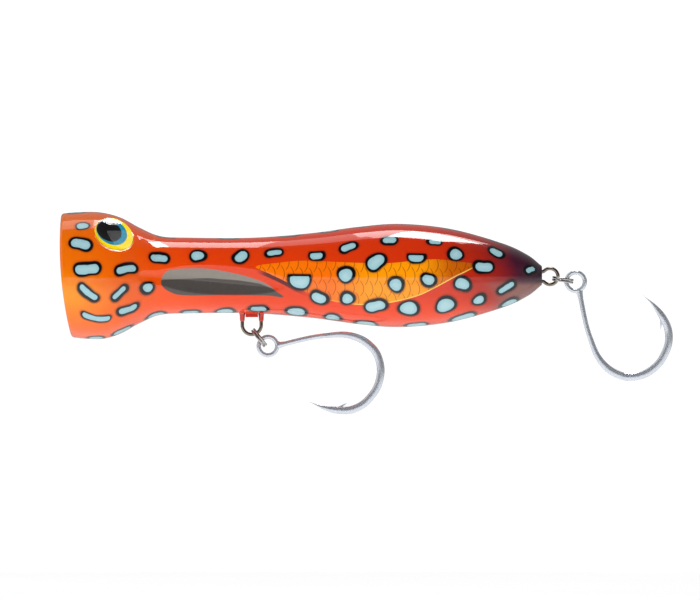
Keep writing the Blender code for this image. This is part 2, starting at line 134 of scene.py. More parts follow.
# Rings and hooks. The hook's line is given back from its eye's middle, and down.
RING_RADIUS, RING_WIRE, RING_PITCH = 3.0, 0.36, 0.78
BELLY_RING, BELLY_RING_TILT = (55.83, 0, -19.4), 52.1
TAIL_RING, TAIL_RING_TILT = (150.6, 0, -1.36), 8.6
HOOK_EYE, HOOK_EYE_WIRE = 2.88, 0.675
HOOK_LINE = (
    (2.9, 0.6), (12.8, 0.75), (18.7, 1.4), (24.3, 2.6), (28.7, 5.2), (31.6, 9.0), (32.5, 12.6), (32.0, 16.8),
    (29.6, 21.1), (25.6, 24.3), (22.3, 25.5), (19.0, 25.6), (15.3, 24.5), (11.5, 22.6), (8.1, 20.0),
)
HOOK_WIRE = 1.05
BELLY_HOOK, BELLY_HOOK_TURN = (58.6, 0, -22.0), -14.4
TAIL_HOOK, TAIL_HOOK_TURN = (154.6, 0, -1.9), 79.6

# The view: its middle and width.
VIEW_MIDDLE = Vector((84.2, 0, -7.64)) * MM
VIEW_WIDTH = 218.4 * MM
FLOOR_Z = -0.145


# ---------------------------------------------------------------- lines and sizes

def smooth_line(points, steps, closed=False):
    """A Catmull-Rom line through the points."""
    knots = [Vector(point) for point in points]
    if closed:
        knots = [knots[-1], *knots, knots[0], knots[1]]
    else:
        knots = [2 * knots[0] - knots[1], *knots, 2 * knots[-1] - knots[-2]]
    line = []
    for a, b, c, d in zip(knots, knots[1:], knots[2:], knots[3:]):
        for count in range(steps):
            t = count / steps
            bend = (2 * a - 5 * b + 4 * c - d) * t**2 + (3 * b - a - 3 * c + d) * t**3
            line.append(0.5 * (2 * b + (c - a) * t + bend))
    return line if closed else line + [knots[-2]]


def arc(x, z, radius, first, last, steps):
    """Points round a centre in the XZ plane, with the angles in degrees up from +X."""
    turns = [math.radians(first + (last - first) * count / steps) for count in range(steps + 1)]
    return [(x + radius * math.cos(turn), 0, z + radius * math.sin(turn)) for turn in turns]


def ease(low, high, value):
    """0 below low, 1 above high, and a smooth rise between, for a number or an array."""
    t = np.clip((value - low) / (high - low), 0, 1)
    return t * t * (3 - 2 * t)


body_line = np.array([tuple(point) for point in smooth_line(OUTLINE, 6)])


def body_radius(station):
    """The body's radius at a station behind the lip, or at an array of them."""
    return np.interp(station, body_line[:, 0], body_line[:, 1])


# ---------------------------------------------------------------- making pieces

def piece(name, shape, finish, body, nodes=(), smooth=40):
    """Makes the shape an object in place, with its finish, and has it ride its body for the CAD nodes."""
    mesh = bpy.data.meshes.new(name)
    shape.to_mesh(mesh)
    shape.free()
    mesh.materials.append(finish)
    mesh.shade_smooth()
    mesh.set_sharp_from_angle(angle=math.radians(smooth))
    thing = bpy.data.objects.new(name, mesh)
    bpy.context.scene.collection.objects.link(thing)
    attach(thing, body)
    if nodes:
        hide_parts(*nodes)
    return thing


def ring_of(shape, section, place):
    """A closed ring of points for a sweep's start, placed by a matrix."""
    points = [shape.verts.new(place @ Vector(spot)) for spot in section]
    return [shape.edges.new((a, b)) for a, b in zip(points, points[1:] + points[:1])]


def oval(sides, power=2.0):
    """A section of unit half-width: round at power 2, and squarer above."""
    spots = []
    for i in range(sides):
        turn = 2 * math.pi * i / sides
        c, s = math.cos(turn), math.sin(turn)
        spots.append((math.copysign(abs(c) ** (2 / power), c), math.copysign(abs(s) ** (2 / power), s), 0))
    return spots


def sweep(shape, path, sizes, up=(0, 1, 0), section=None, closed=False):
    """Extrudes a section along the path, in millimetres. Sizes give its half-width across and along up."""
    section = section or oval(16)
    spots = [Vector(spot) for spot in path]
    last = len(spots) - 1
    places = []
    for i, spot in enumerate(spots):
        before = spots[i - 1] if i or closed else spot
        after = spots[(i + 1) % len(spots)] if i < last or closed else spot
        along = (after - before).normalized()
        side = Vector(up).cross(along).normalized()
        top = along.cross(side)
        wide, tall = sizes[i] if isinstance(sizes[0], (tuple, list)) else sizes
        turn = Matrix((side * wide, top * tall, along)).transposed().to_4x4()
        places.append(Matrix.Diagonal((MM, MM, MM, 1)) @ Matrix.Translation(spot) @ turn)
    edges = ring_of(shape, section, places[0])
    first = list(edges)
    for place in places[1:]:
        grown = bmesh.ops.extrude_edge_only(shape, edges=edges)["geom"]
        edges = [part for part in grown if isinstance(part, bmesh.types.BMEdge)]
        ends = [part for part in grown if isinstance(part, bmesh.types.BMVert)]
        for point, spot in zip(ends, section):
            point.co = place @ Vector(spot)
    if closed:
        bmesh.ops.bridge_loops(shape, edges=first + edges)
    else:
        bmesh.ops.holes_fill(shape, edges=first)
        bmesh.ops.holes_fill(shape, edges=edges)
    bmesh.ops.recalc_face_normals(shape, faces=shape.faces)


def move(shape, place):
    """Moves a finished shape from its own frame, in metres, to its place on the lure."""
    bmesh.ops.transform(shape, matrix=place, verts=shape.verts)


def at(spot, roll, pitch):
    """A matrix that turns about X, then Y, by degrees and moves to a spot in millimetres."""
    turn = Matrix.Rotation(math.radians(pitch), 4, "Y") @ Matrix.Rotation(math.radians(roll), 4, "X")
    return Matrix.Translation(Vector(spot) * MM) @ turn


# ---------------------------------------------------------------- node helpers

def feed(tree, node, **sockets):
    """Sets or links a node's inputs, by their names or, as i0 and so on, by their places."""
    for name, value in sockets.items():
        socket = node.inputs[int(name[1:]) if name[1:].isdigit() else name.replace("_", " ")]
        if isinstance(value, bpy.types.NodeSocket):
            tree.links.new(value, socket)
        else:
            socket.default_value = value


def add(tree, kind, settings=(), **sockets):
    """A node with its settings, and its inputs set to values or linked from sockets."""
    node = tree.nodes.new(kind)
    for name, value in dict(settings).items():
        setattr(node, name, value)
    feed(tree, node, **sockets)
    return node


def calc(tree, operation, a, b=0.0, c=0.0):
    """One step of arithmetic. The third value counts only in a multiply-add."""
    return add(tree, "ShaderNodeMath", {"operation": operation}, i0=a, i1=b, i2=c).outputs[0]


def step(tree, value, low, high):
    """0 to 1 as the value goes from low to high, smoothly. High may be the smaller."""
    settings = {"interpolation_type": "SMOOTHSTEP"}
    start, end = (0.0, 1.0) if low < high else (1.0, 0.0)
    low, high = min(low, high), max(low, high)
    return add(tree, "ShaderNodeMapRange", settings, i0=value, i1=low, i2=high, i3=start, i4=end).outputs[0]


def blend(tree, share, a, b):
    """A mix of two colours."""
    return add(tree, "ShaderNodeMix", {"data_type": "RGBA"}, i0=share, i6=a, i7=b).outputs[2]


def rgb(red, green, blue):
    """A colour from its 0 to 255 display values, as the shaders want it."""
    values = []
    for value in (red, green, blue):
        v = value / 255
        values.append(v / 12.92 if v <= 0.04045 else ((v + 0.055) / 1.055) ** 2.4)
    return (*values, 1.0)


def ramp(tree, value, stops):
    """A colour ramp with its stops."""
    node = add(tree, "ShaderNodeValToRGB", i0=value)
    bar = node.color_ramp
    while len(bar.elements) < len(stops):
        bar.elements.new(0.5)
    for element, (position, colour) in zip(bar.elements, stops):
        element.position = position
        element.color = colour
    return node.outputs[0]


def attribute(tree, name):
    return add(tree, "ShaderNodeAttribute", {"attribute_name": name}).outputs["Fac"]


def noise(tree, where, scale, detail=3.0):
    cloud = add(tree, "ShaderNodeTexNoise", Vector=where, Scale=scale, Detail=detail, Roughness=0.55)
    return cloud.outputs[0]


def coordinates(tree):
    """Object coordinates, and their three axes."""
    where = add(tree, "ShaderNodeTexCoord").outputs["Object"]
    return where, add(tree, "ShaderNodeSeparateXYZ", i0=where).outputs


def group(name, inputs, outputs):
    """An empty node group with its sockets, its inner input and output nodes."""
    tree = bpy.data.node_groups.new(name, "ShaderNodeTree")
    for label, kind, value in inputs:
        socket = tree.interface.new_socket(label, in_out="INPUT", socket_type=kind)
        socket.default_value = value
    for label, kind in outputs:
        tree.interface.new_socket(label, in_out="OUTPUT", socket_type=kind)
    return tree, tree.nodes.new("NodeGroupInput"), tree.nodes.new("NodeGroupOutput")


def use(tree, made, **sockets):
    """Places a group in a material."""
    node = add(tree, "ShaderNodeGroup", {"node_tree": made}, **sockets)
    return node.outputs


def finish(name):
    """A material and its shader."""
    made = bpy.data.materials.new(name)
    made.use_nodes = True
    return made, made.node_tree, made.node_tree.nodes["Principled BSDF"]


FLOAT, COLOUR = "NodeSocketFloat", "NodeSocketColor"


def body_colour_group():
    """The airbrushed ground: yellow-orange at the mouth through orange and red to a plum tail, with a painted
    reflection greying the tail's underside.
    """
    tree, _, out = group("body_colour", [], [("Color", COLOUR)])
    where, axes = coordinates(tree)
    cloud = noise(tree, where, 55.0, 2.0)
    along = calc(tree, "MULTIPLY_ADD", axes[0], 1 / (BODY_LENGTH * MM), -LIP_X / BODY_LENGTH)
    drift = calc(tree, "MULTIPLY_ADD", cloud, 0.05, -0.025)
    along = calc(tree, "ADD", calc(tree, "MULTIPLY_ADD", axes[2], 2.3, along), drift)
    ground = ramp(tree, along, (
        (0.0, rgb(236, 112, 0)), (0.10, rgb(236, 102, 0)), (0.19, rgb(240, 82, 2)), (0.30, rgb(228, 62, 4)),
        (0.60, rgb(218, 54, 6)), (0.80, rgb(208, 46, 6)), (0.89, rgb(170, 34, 18)), (0.95, rgb(70, 22, 44)),
        (1.0, rgb(40, 15, 34)),
    ))
    cheek = calc(tree, "MULTIPLY", step(tree, along, 0.12, 0.0), step(tree, axes[2], 0.004, -0.009))
    cheek = calc(tree, "MULTIPLY", cheek, step(tree, axes[2], -0.019, -0.012))
    ground = blend(tree, calc(tree, "MULTIPLY", cheek, 0.85), ground, rgb(255, 158, 8))
    low = calc(tree, "MULTIPLY", step(tree, axes[2], -0.004, -0.014), step(tree, along, 0.90, 0.82))
    ground = blend(tree, calc(tree, "MULTIPLY", low, 0.55), ground, rgb(255, 78, 14))
    # Painted reflection: below a line on the tail the plum turns greyish pink, standing in for the floor's
    # reflection.
    under = calc(tree, "MULTIPLY", step(tree, axes[2], -0.0015, -0.0035), step(tree, along, 0.87, 0.93))
    ground = blend(tree, calc(tree, "MULTIPLY", under, 0.8), ground, rgb(144, 98, 90))
    legs = calc(tree, "MULTIPLY", step(tree, axes[2], -0.0117, -0.0121), step(tree, axes[0], 0.066, 0.062))
    legs = calc(tree, "MULTIPLY", legs, step(tree, axes[0], 0.040, 0.045))
    ground = blend(tree, calc(tree, "MULTIPLY", legs, 0.85), ground, rgb(176, 26, 4))
    tree.links.new(ground, out.inputs[0])
    return tree


def wear_group():
    """Fine scratches and handling marks: a mask of scratches and a cloudy value."""
    tree, ins, out = group("handling", [("Scale", FLOAT, 1.0)], [("Scratch", FLOAT), ("Cloud", FLOAT)])
    where = coordinates(tree)[0]
    spread = add(tree, "ShaderNodeVectorMath", {"operation": "SCALE"}, i0=where, Scale=ins.outputs[0])
    spread = spread.outputs[0]
    turned = add(tree, "ShaderNodeMapping", i0=spread, i2=(0.4, 0.7, 0.3), i3=(60, 900, 900)).outputs[0]
    lines = noise(tree, turned, 1.0, 1.0)
    scratch = step(tree, lines, 0.68, 0.74)
    cloud = noise(tree, spread, 160.0, 3.0)
    tree.links.new(scratch, out.inputs[0])
    tree.links.new(cloud, out.inputs[1])
    return tree


body_colour = body_colour_group()
handling = wear_group()


# ---------------------------------------------------------------- finishes

def scale_net(tree, where):
    """Lines of a net of scales, in staggered rows of arcs that bulge towards the tail."""
    axes = add(tree, "ShaderNodeSeparateXYZ", i0=where).outputs
    sway = calc(tree, "MULTIPLY_ADD", noise(tree, where, 60.0, 1.0), 0.5, -0.25)
    pitch, height = 2.9 * MM, 7.6 * MM
    lines = None
    for half in (0.0, 0.5):
        row = calc(tree, "ADD", calc(tree, "MULTIPLY_ADD", axes[2], 1 / height, half), sway)
        row = calc(tree, "FRACT", row)
        across = calc(tree, "MULTIPLY_ADD", row, 2.0, -1.0)
        bulge = calc(tree, "MULTIPLY_ADD", calc(tree, "MULTIPLY", across, across), 0.8, half)
        column = calc(tree, "FRACT", calc(tree, "MULTIPLY_ADD", axes[0], 1 / pitch, bulge))
        near = calc(tree, "ABSOLUTE", calc(tree, "SUBTRACT", column, 0.5))
        line = step(tree, near, 0.075, 0.02)
        line = calc(tree, "MULTIPLY", line, step(tree, calc(tree, "ABSOLUTE", across), 0.72, 0.6))
        lines = line if lines is None else calc(tree, "MAXIMUM", lines, line)
    return lines


def paint_finish():
    """The coat: ground, foil leaf with its painted glint and shadow, grey patch with a painted reflection,
    black ink and blue spots, all under clear gloss.
    """
    made, tree, shader = finish("spotted_paint")
    where, axes = coordinates(tree)
    colour = use(tree, body_colour)[0]
    cloud = use(tree, handling, Scale=1.0)[1]
    fine = noise(tree, where, 900.0, 2.0)

    leaf, patch, ink, blue = (attribute(tree, name) for name in ("leaf", "patch", "ink", "blue"))
    shade = calc(tree, "MULTIPLY", step(tree, leaf, 1.5, 1.0), attribute(tree, "leaf_shadow"))
    colour = blend(tree, shade, colour, rgb(92, 0, 0))
    on_leaf = step(tree, leaf, 0.06, -0.06)
    start, length = 55, 70
    run = calc(tree, "MULTIPLY_ADD", axes[0], 1 / (length * MM), -start / length)
    foil = ramp(tree, run, (
        (0.0, rgb(250, 120, 0)), (0.33, rgb(246, 112, 0)), (0.5, rgb(254, 152, 0)), (0.74, rgb(252, 154, 2)),
        (0.86, rgb(202, 98, 2)), (1.0, rgb(184, 84, 0)),
    ))
    foil = blend(tree, calc(tree, "MULTIPLY", scale_net(tree, where), 0.62), foil, rgb(112, 34, 0))
    edge = calc(tree, "MULTIPLY", step(tree, leaf, -0.42, -0.12), attribute(tree, "leaf_glint"))
    foil = blend(tree, edge, foil, rgb(255, 214, 96))
    colour = blend(tree, on_leaf, colour, foil)

    # Painted reflection: the grey patch is lighter above a wavy line and darker below it, as the scoop's
    # floor would mirror bright and dark surroundings.
    tone = step(tree, attribute(tree, "patch_reflection_split"), -0.25, 0.25)
    grey = blend(tree, tone, rgb(74, 68, 64), rgb(142, 134, 124))
    grey = blend(tree, calc(tree, "MULTIPLY", fine, 0.25), grey, rgb(96, 96, 96))
    colour = blend(tree, step(tree, patch, 0.25, -0.15), colour, grey)

    low = step(tree, axes[2], -0.001, -0.006)
    haze = calc(tree, "MULTIPLY", step(tree, ink, 1.0, -0.2), calc(tree, "MULTIPLY_ADD", low, 0.3, 0.3))
    colour = blend(tree, haze, colour, rgb(60, 26, 22))
    colour = blend(tree, step(tree, ink, 0.3, -0.2), colour, rgb(9, 8, 10))
    fill = blend(tree, step(tree, blue, -1.6, -0.2), rgb(168, 206, 214), rgb(142, 194, 206))
    fill = blend(tree, calc(tree, "MULTIPLY", fine, 0.4), fill, rgb(182, 206, 206))
    colour = blend(tree, step(tree, blue, 0.12, -0.14), colour, fill)

    shiny = calc(tree, "MULTIPLY_ADD", cloud, 0.10, 0.22)
    foil_edge = calc(tree, "MULTIPLY", on_leaf, 0.3)
    peel = calc(tree, "MULTIPLY_ADD", noise(tree, where, 420.0, 1.0), 0.4, foil_edge)
    bump = add(tree, "ShaderNodeBump", Strength=0.04, Distance=0.0002, Height=peel).outputs[0]
    feed(
        tree, shader, Base_Color=colour, Roughness=shiny, Specular_IOR_Level=0.0, Coat_Weight=1.0,
        Coat_Roughness=0.035, Coat_IOR=1.52, Normal=bump,
    )
    return made


def plain_paint():
    """The ground colour alone, for the shells below the coat and the paint run down the hanger's legs."""
    made, tree, shader = finish("ground_paint")
    colour = use(tree, body_colour)[0]
    rough = calc(tree, "MULTIPLY_ADD", use(tree, handling, Scale=1.2)[1], 0.15, 0.2)
    feed(tree, shader, Base_Color=colour, Roughness=rough, Coat_Weight=0.8, Coat_Roughness=0.05)
    return made


def metal(name, light, dark, rough, spread, grain, metallic=1.0):
    """A worn metal: two tones through a cloud, with drawn grain and scratches."""
    made, tree, shader = finish(name)
    scratch, cloud = use(tree, handling, Scale=1.0)
    drawn = add(tree, "ShaderNodeMapping", i0=coordinates(tree)[0], i3=(220, 1400, 1400)).outputs[0]
    streaks = noise(tree, drawn, 1.0, 2.0)
    tone = blend(tree, cloud, rgb(*dark), rgb(*light))
    tone = blend(tree, calc(tree, "MULTIPLY", scratch, 0.3), tone, rgb(*light))
    roughness = calc(tree, "MULTIPLY_ADD", streaks, spread, rough)
    bump = add(tree, "ShaderNodeBump", Strength=grain, Distance=0.00005, Height=streaks).outputs[0]
    feed(tree, shader, Base_Color=tone, Metallic=metallic, Roughness=roughness, Normal=bump)
    return made


def print_finish():
    """The eye's print: yellow, a blue iris and a black pupil, each set off its middle."""
    made, tree, shader = finish("eye_print")
    where = add(tree, "ShaderNodeAttribute", {"attribute_name": "print"}).outputs["Vector"]

    def disc(u, v, radius):
        spot = add(tree, "ShaderNodeVectorMath", {"operation": "DISTANCE"}, i0=where, i1=(u, v, 0))
        return step(tree, spot.outputs["Value"], radius + 0.06, radius - 0.06)

    grain = noise(tree, where, 4.0, 2.0)
    yellow = blend(tree, grain, rgb(250, 214, 0), rgb(255, 232, 20))
    iris = blend(tree, grain, rgb(8, 122, 152), rgb(20, 146, 178))
    colour = blend(tree, disc(*IRIS), yellow, iris)
    colour = blend(tree, disc(*PUPIL), colour, rgb(8, 7, 9))
    rough = calc(tree, "MULTIPLY_ADD", grain, 0.1, 0.3)
    feed(tree, shader, Base_Color=colour, Roughness=rough, Specular_IOR_Level=0.0)
    return made


def clear(name, tint, rough, weight, cloud):
    """Clear plastic or resin, a little cloudy."""
    made, tree, shader = finish(name)
    haze = calc(tree, "MULTIPLY", use(tree, handling, Scale=1.0)[1], cloud)
    colour = blend(tree, haze, rgb(*tint), rgb(235, 238, 240))
    shaded = add(tree, "ShaderNodeLightPath").outputs["Is Shadow Ray"]
    solid = calc(tree, "MULTIPLY_ADD", shaded, -0.9, 1.0)
    feed(tree, shader, Base_Color=colour, Roughness=rough, Transmission_Weight=weight, IOR=1.49, Alpha=solid)
    return made


paint = paint_finish()
ground = plain_paint()
wire_steel = metal("drawn_wire", (164, 152, 140), (112, 98, 88), 0.14, 0.12, 0.06)
ring_steel = metal("ring_steel", (204, 202, 200), (150, 146, 144), 0.10, 0.10, 0.05)
hook_steel = metal("tinned_hook", (222, 226, 233), (194, 201, 213), 0.17, 0.05, 0.01, metallic=0.72)
brass = metal("turned_brass", (222, 186, 110), (158, 118, 58), 0.22, 0.2, 0.3)
lead = metal("cast_weight", (120, 122, 128), (70, 72, 78), 0.45, 0.25, 0.5)
crimp_metal = metal("pressed_sleeve", (196, 180, 140), (132, 116, 84), 0.28, 0.2, 0.3)
eye_print = print_finish()
lens = clear("lens_resin", (252, 253, 255), 0.02, 1.0, 0.0)
tube_plastic = clear("rattle_tube_plastic", (214, 218, 220), 0.16, 0.85, 0.5)


# ---------------------------------------------------------------- the coat

def coat_line():
    """The coat's half outline, from the tail's middle over the outside and the lip to the cup's floor."""
    outside = [(LIP_X + s, r + COAT) for s, r in reversed(smooth_line(OUTLINE, SPAN_STEPS))]
    end, edge = outside[0]
    tail = [(end + COAT, r) for r in (0.0, 1.0, 2.0, edge - 0.5)] + [(end + COAT * 0.7, edge - 0.15)]
    grown = LIP_RADIUS + COAT
    middle = OUTLINE[0][1] - LIP_RADIUS
    lip = []
    for turn in range(15, 181, 15):
        a = math.radians(turn)
        lip.append((LIP_X + LIP_RADIUS - grown * math.sin(a), middle + grown * math.cos(a)))
    cup = []
    depth = CUP_DEPTH - LIP_RADIUS - COAT
    for turn in range(88, 5, -2):
        a = math.radians(turn)
        cup.append((LIP_X + LIP_RADIUS + depth * math.cos(a), lip[-1][1] * math.sin(a)))
    return tail + outside + lip + cup


def bite(points, side):
    """Moves the points inside the scoop's ellipsoid in towards the axis, with a small soft edge."""
    middle = np.array([LIP_X + SCOOP_MIDDLE[0], side * SCOOP_MIDDLE[1], SCOOP_MIDDLE[2]])
    a = math.radians(SCOOP_DROOP)
    droop = np.array([[math.cos(a), 0, -math.sin(a)], [0, 1, 0], [math.sin(a), 0, math.cos(a)]])
    out = (points * (0, 1, 1)) @ droop.T / SCOOP_RADII
    start = (points * (1, 0, 0) - middle) @ droop.T / SCOOP_RADII
    square = np.maximum((out**2).sum(1), 1e-9)
    cross = (out * start).sum(1)
    root = cross**2 - square * ((start**2).sum(1) - 1)
    share = np.full(len(points), 9.0)
    real = (root > 0) & (cross < 0)
    share[real] = (-cross[real] - np.sqrt(root[real])) / square[real]
    reach = np.maximum(np.hypot(points[:, 1], points[:, 2]), 1)
    mix = np.clip(0.5 + 0.5 * (share - 1) * reach / SCOOP_EDGE, 0, 1)
    kept = mix + (1 - mix) * share - SCOOP_EDGE * mix * (1 - mix) / reach
    kept = np.where(share > 8, 1.0, kept)
    return points * np.stack([np.ones(len(points)), kept, kept], 1)


def outline_distance(station, height, outline):
    """How far each point is outside a closed outline, negative inside, in the flank's own plane."""
    line = np.array([tuple(point) for point in smooth_line(outline, 5, closed=True)])
    spots = np.stack([station, height], 1)
    best = np.full(len(spots), 1e9)
    inside = np.zeros(len(spots), bool)
    for a, b in zip(line, np.roll(line, -1, 0)):
        along = b - a
        t = np.clip(((spots - a) @ along) / (along @ along), 0, 1)
        best = np.minimum(best, np.hypot(*(spots - a - t[:, None] * along).T))
        crosses = (a[1] > height) != (b[1] > height)
        if a[1] != b[1]:
            inside ^= crosses & (station < a[0] + (height - a[1]) / (b[1] - a[1]) * (b[0] - a[0]))
    return np.where(inside, -best, best)


def spot_distance(station, rise, round_by, spot, shrink, shift, wobble):
    """How far each point is outside one spot, on the unrolled skin."""
    where, height, length, tall, tilt, bend, cut = spot
    radius = float(body_radius(where))
    middle = math.asin(max(-1, min(1, height / radius)))
    top = math.asin(min(1, (height + tall / 2) / radius))
    bottom = math.asin(max(-1, (height - tall / 2) / radius))
    width = (top - bottom) * radius
    u = station - where - shift[0]
    v = (rise - middle) * round_by - shift[1]
    a = math.radians(tilt)
    u, v = u * math.cos(a) + v * math.sin(a), -u * math.sin(a) + v * math.cos(a)
    v = v - bend * (u * u - length * length / 12)
    long_half = max(length, width) / 2 - shrink
    short_half = min(length, width) / 2 - shrink
    if width > length:
        u, v = v, u
    turn = np.arctan2(v, u)
    ripple = 0.05 * np.sin(2 * turn + wobble[0]) + 0.05 * np.sin(3 * turn + wobble[1])
    reach = long_half - short_half
    away = np.hypot(u - np.clip(u, -reach, reach), v) - short_half * (1 + ripple)
    if cut:
        away = np.maximum(away, v - short_half * (1 - cut))
    return away


def spots_on(station, rise, side):
    """The distances to the black ink and to the blue fill."""
    luck = random.Random(17 + side)
    ink = np.full(len(station), 9.0)
    blue = np.full(len(station), 9.0)
    spots = list(SPOTS)
    for where, degrees, length, width in EDGE_SPOTS:
        radius = float(body_radius(where))
        middle = math.radians(degrees)
        half = width / 2 / radius
        low, high = math.sin(middle - half), math.sin(middle + half)
        spots.append((where, radius * math.sin(middle), length, radius * abs(high - low), 0, 0, 0))
    round_by = body_radius(station)
    for number, spot in enumerate(spots):
        swell = 0.5 if number >= len(SPOTS) else 0.0
        wobble = (luck.uniform(0, 6.28), luck.uniform(0, 6.28))
        shift = (luck.uniform(-0.22, 0.22), luck.uniform(-0.25, 0.15))
        rim = RIM * (0.6 if min(spot[2], spot[3]) < 2.6 else 1.0)
        black = spot_distance(station, rise, round_by, spot, -swell, (0, 0), wobble)
        fill = spot_distance(station, rise, round_by, spot, rim, shift, (wobble[0] + 0.4, wobble[1] - 0.5))
        ink, blue = np.minimum(ink, black), np.minimum(blue, fill)
    return ink, blue


def eye_axes(side):
    """An eye's middle, its axis, and the directions back and up on its disc."""
    middle = Vector((EYE_SPOT[0], side * EYE_SPOT[1], EYE_SPOT[2]))
    axis = Vector((EYE_AXIS[0], side * EYE_AXIS[1], EYE_AXIS[2])).normalized()
    back = (Vector((1, 0, 0)) - axis * axis.x).normalized()
    up = axis.cross(back)
    return middle, axis, back, up if up.z > 0 else -up


def coat(side, word):
    """One flank's coat: half a turn of the outline, shaped and marked, then given its thickness."""
    shape = bmesh.new()
    line = [shape.verts.new((x * MM, 0, r * MM)) for x, r in coat_line()]
    for a, b in zip(line, line[1:]):
        shape.edges.new((a, b))
    bmesh.ops.spin(
        shape, geom=shape.verts[:] + shape.edges[:], cent=(0, 0, 0), axis=(1, 0, 0), dvec=(0, 0, 0),
        angle=-side * math.pi, steps=HALF_TURN_STEPS,
    )
    bmesh.ops.remove_doubles(shape, verts=shape.verts, dist=0.000001)

    points = np.array([point.co for point in shape.verts]) / MM
    station = points[:, 0] - LIP_X
    outside = np.hypot(points[:, 1], points[:, 2]) > body_radius(station) - 0.2
    rise = np.arctan2(points[:, 2], np.abs(points[:, 1]))
    height = points[:, 2].copy()
    leaf = np.where(outside, outline_distance(station, height, LEAF), 9.0)
    patch = np.where(outside, outline_distance(station, height, PATCH), 9.0)
    ink, blue = (np.where(outside, away, 9.0) for away in spots_on(station, rise, side))
    # Where the grey patch's painted reflection turns from light above to dark below: height by station.
    reflection_line = np.interp(station, (30, 36, 46, 56, 62, 68), (-1.4, -1.3, -1.0, -1.9, -2.9, -5.0))
    low_edge = np.interp(station, (60, 72, 84, 93, 104, 116, 130), (2.8, -1.6, -5.2, -6.0, -5.4, -2.0, 3.0))
    marks = {
        "leaf": leaf, "patch": patch, "ink": ink, "blue": blue, "patch_reflection_split": height - reflection_line,
        "leaf_glint": ease(0.6, -0.4, height - low_edge) * ease(78, 96, station),
        "leaf_shadow": ease(1.0, -0.2, height - low_edge) * ease(78, 70, station) * ease(60.5, 64.5, station),
    }

    points = bite(points, side)
    raised = 1 + FOIL_RISE * ease(0.15, -0.15, leaf) / np.maximum(np.hypot(points[:, 1], points[:, 2]), 1)
    points[:, 1:] *= raised[:, None]
    drop = (points[:, 2] - MOUTH_TOP) ** 2 / (2 * MOUTH_ARC)
    points[:, 0] += drop * (1 - ease(0, MOUTH_REACH, station))
    points[:, 1] += side * SEAM_GAP

    layers = {name: shape.verts.layers.float.new(name) for name in marks}
    middle, axis = eye_axes(side)[:2]
    gone = []
    for i, point in enumerate(shape.verts):
        point.co = Vector(points[i]) * MM
        for name, layer in layers.items():
            point[layer] = marks[name][i]
        away = Vector(points[i]) - middle
        flat = away - axis * away.dot(axis)
        if flat.length < EYE_RADIUS - 0.35 and away.dot(axis) > SOCKET_DEPTH:
            gone.append(point)
    bmesh.ops.delete(shape, geom=gone, context="VERTS")
    for point in shape.verts:
        away = point.co / MM - middle
        high = away.dot(axis)
        flat = away - axis * high
        if point.is_boundary and flat.length < EYE_RADIUS + 0.6 and high > SOCKET_DEPTH:
            point.co = (middle + axis * high + flat.normalized() * (EYE_RADIUS - 0.06)) * MM
    bmesh.ops.recalc_face_normals(shape, faces=shape.faces)
    outward = sum(face.normal.dot(Vector((0, face.calc_center_median().y, 0))) for face in shape.faces)
    if outward < 0:
        bmesh.ops.reverse_faces(shape, faces=shape.faces)
    thing = piece("painted_coat_" + word, shape, paint, "body", smooth=60)
    wall = thing.modifiers.new("thickness", "SOLIDIFY")
    wall.thickness = COAT_WALL * MM
    wall.offset = -1


# ---------------------------------------------------------------- eyes

def turned_on_axis(profile, side):
    """Spins a profile of (radius, height) about an eye's axis, and keeps each point's place for the print."""
    middle, axis, back, up = eye_axes(side)
    shape = bmesh.new()
    line = [shape.verts.new((r * MM, 0, h * MM)) for r, h in profile]
    for a, b in zip(line, line[1:]):
        shape.edges.new((a, b))
    bmesh.ops.spin(
        shape, geom=shape.verts[:] + shape.edges[:], cent=(0, 0, 0), axis=(0, 0, 1), dvec=(0, 0, 0),
        angle=2 * math.pi, steps=EYE_STEPS, use_merge=True,
    )
    bmesh.ops.remove_doubles(shape, verts=shape.verts, dist=0.000001)
    bmesh.ops.recalc_face_normals(shape, faces=shape.faces)
    layer = shape.verts.layers.float_vector.new("print")
    for point in shape.verts:
        point[layer] = point.co / MM
    turn = Matrix((back, up, axis)).transposed().to_4x4()
    move(shape, Matrix.Translation(middle * MM) @ turn)
    if turn.determinant() < 0:
        bmesh.ops.reverse_faces(shape, faces=shape.faces)
    return shape


def eye(side, word):
    """A printed disc with a rolled edge, and the clear dome over it."""
    disc = [(0, EYE_BASE), (EYE_RADIUS - 0.2, EYE_BASE), (EYE_RADIUS, EYE_BASE + 0.2)]
    disc += [(EYE_RADIUS, PRINT_HEIGHT - 0.2), (EYE_RADIUS - 0.1, PRINT_HEIGHT)]
    disc += [(r, PRINT_HEIGHT + 0.25 * (1 - (r / EYE_RADIUS) ** 2)) for r in (5.2, 4.0, 2.8, 1.4, 0)]
    shape = turned_on_axis(disc, side)
    piece("eye_print_" + word, shape, eye_print, "body", ["eye_disc_" + word])

    base = PRINT_HEIGHT + 0.32
    wide = EYE_RADIUS - 0.2
    dome = [(0, base), (wide - 0.12, base), (wide, base + 0.12)]
    for share in (0.97, 0.92, 0.85, 0.77, 0.68, 0.58, 0.48, 0.37, 0.25, 0.12, 0):
        rise = (LENS_TOP - 0.3) * (1 - share**2) + 0.18 * math.sqrt(1 - share**4)
        dome.append((wide * share, base + 0.12 + rise))
    shape = turned_on_axis(dome, side)
    piece("eye_dome_" + word, shape, lens, "body", ["eye_lens_" + word])


# ---------------------------------------------------------------- wire and rings

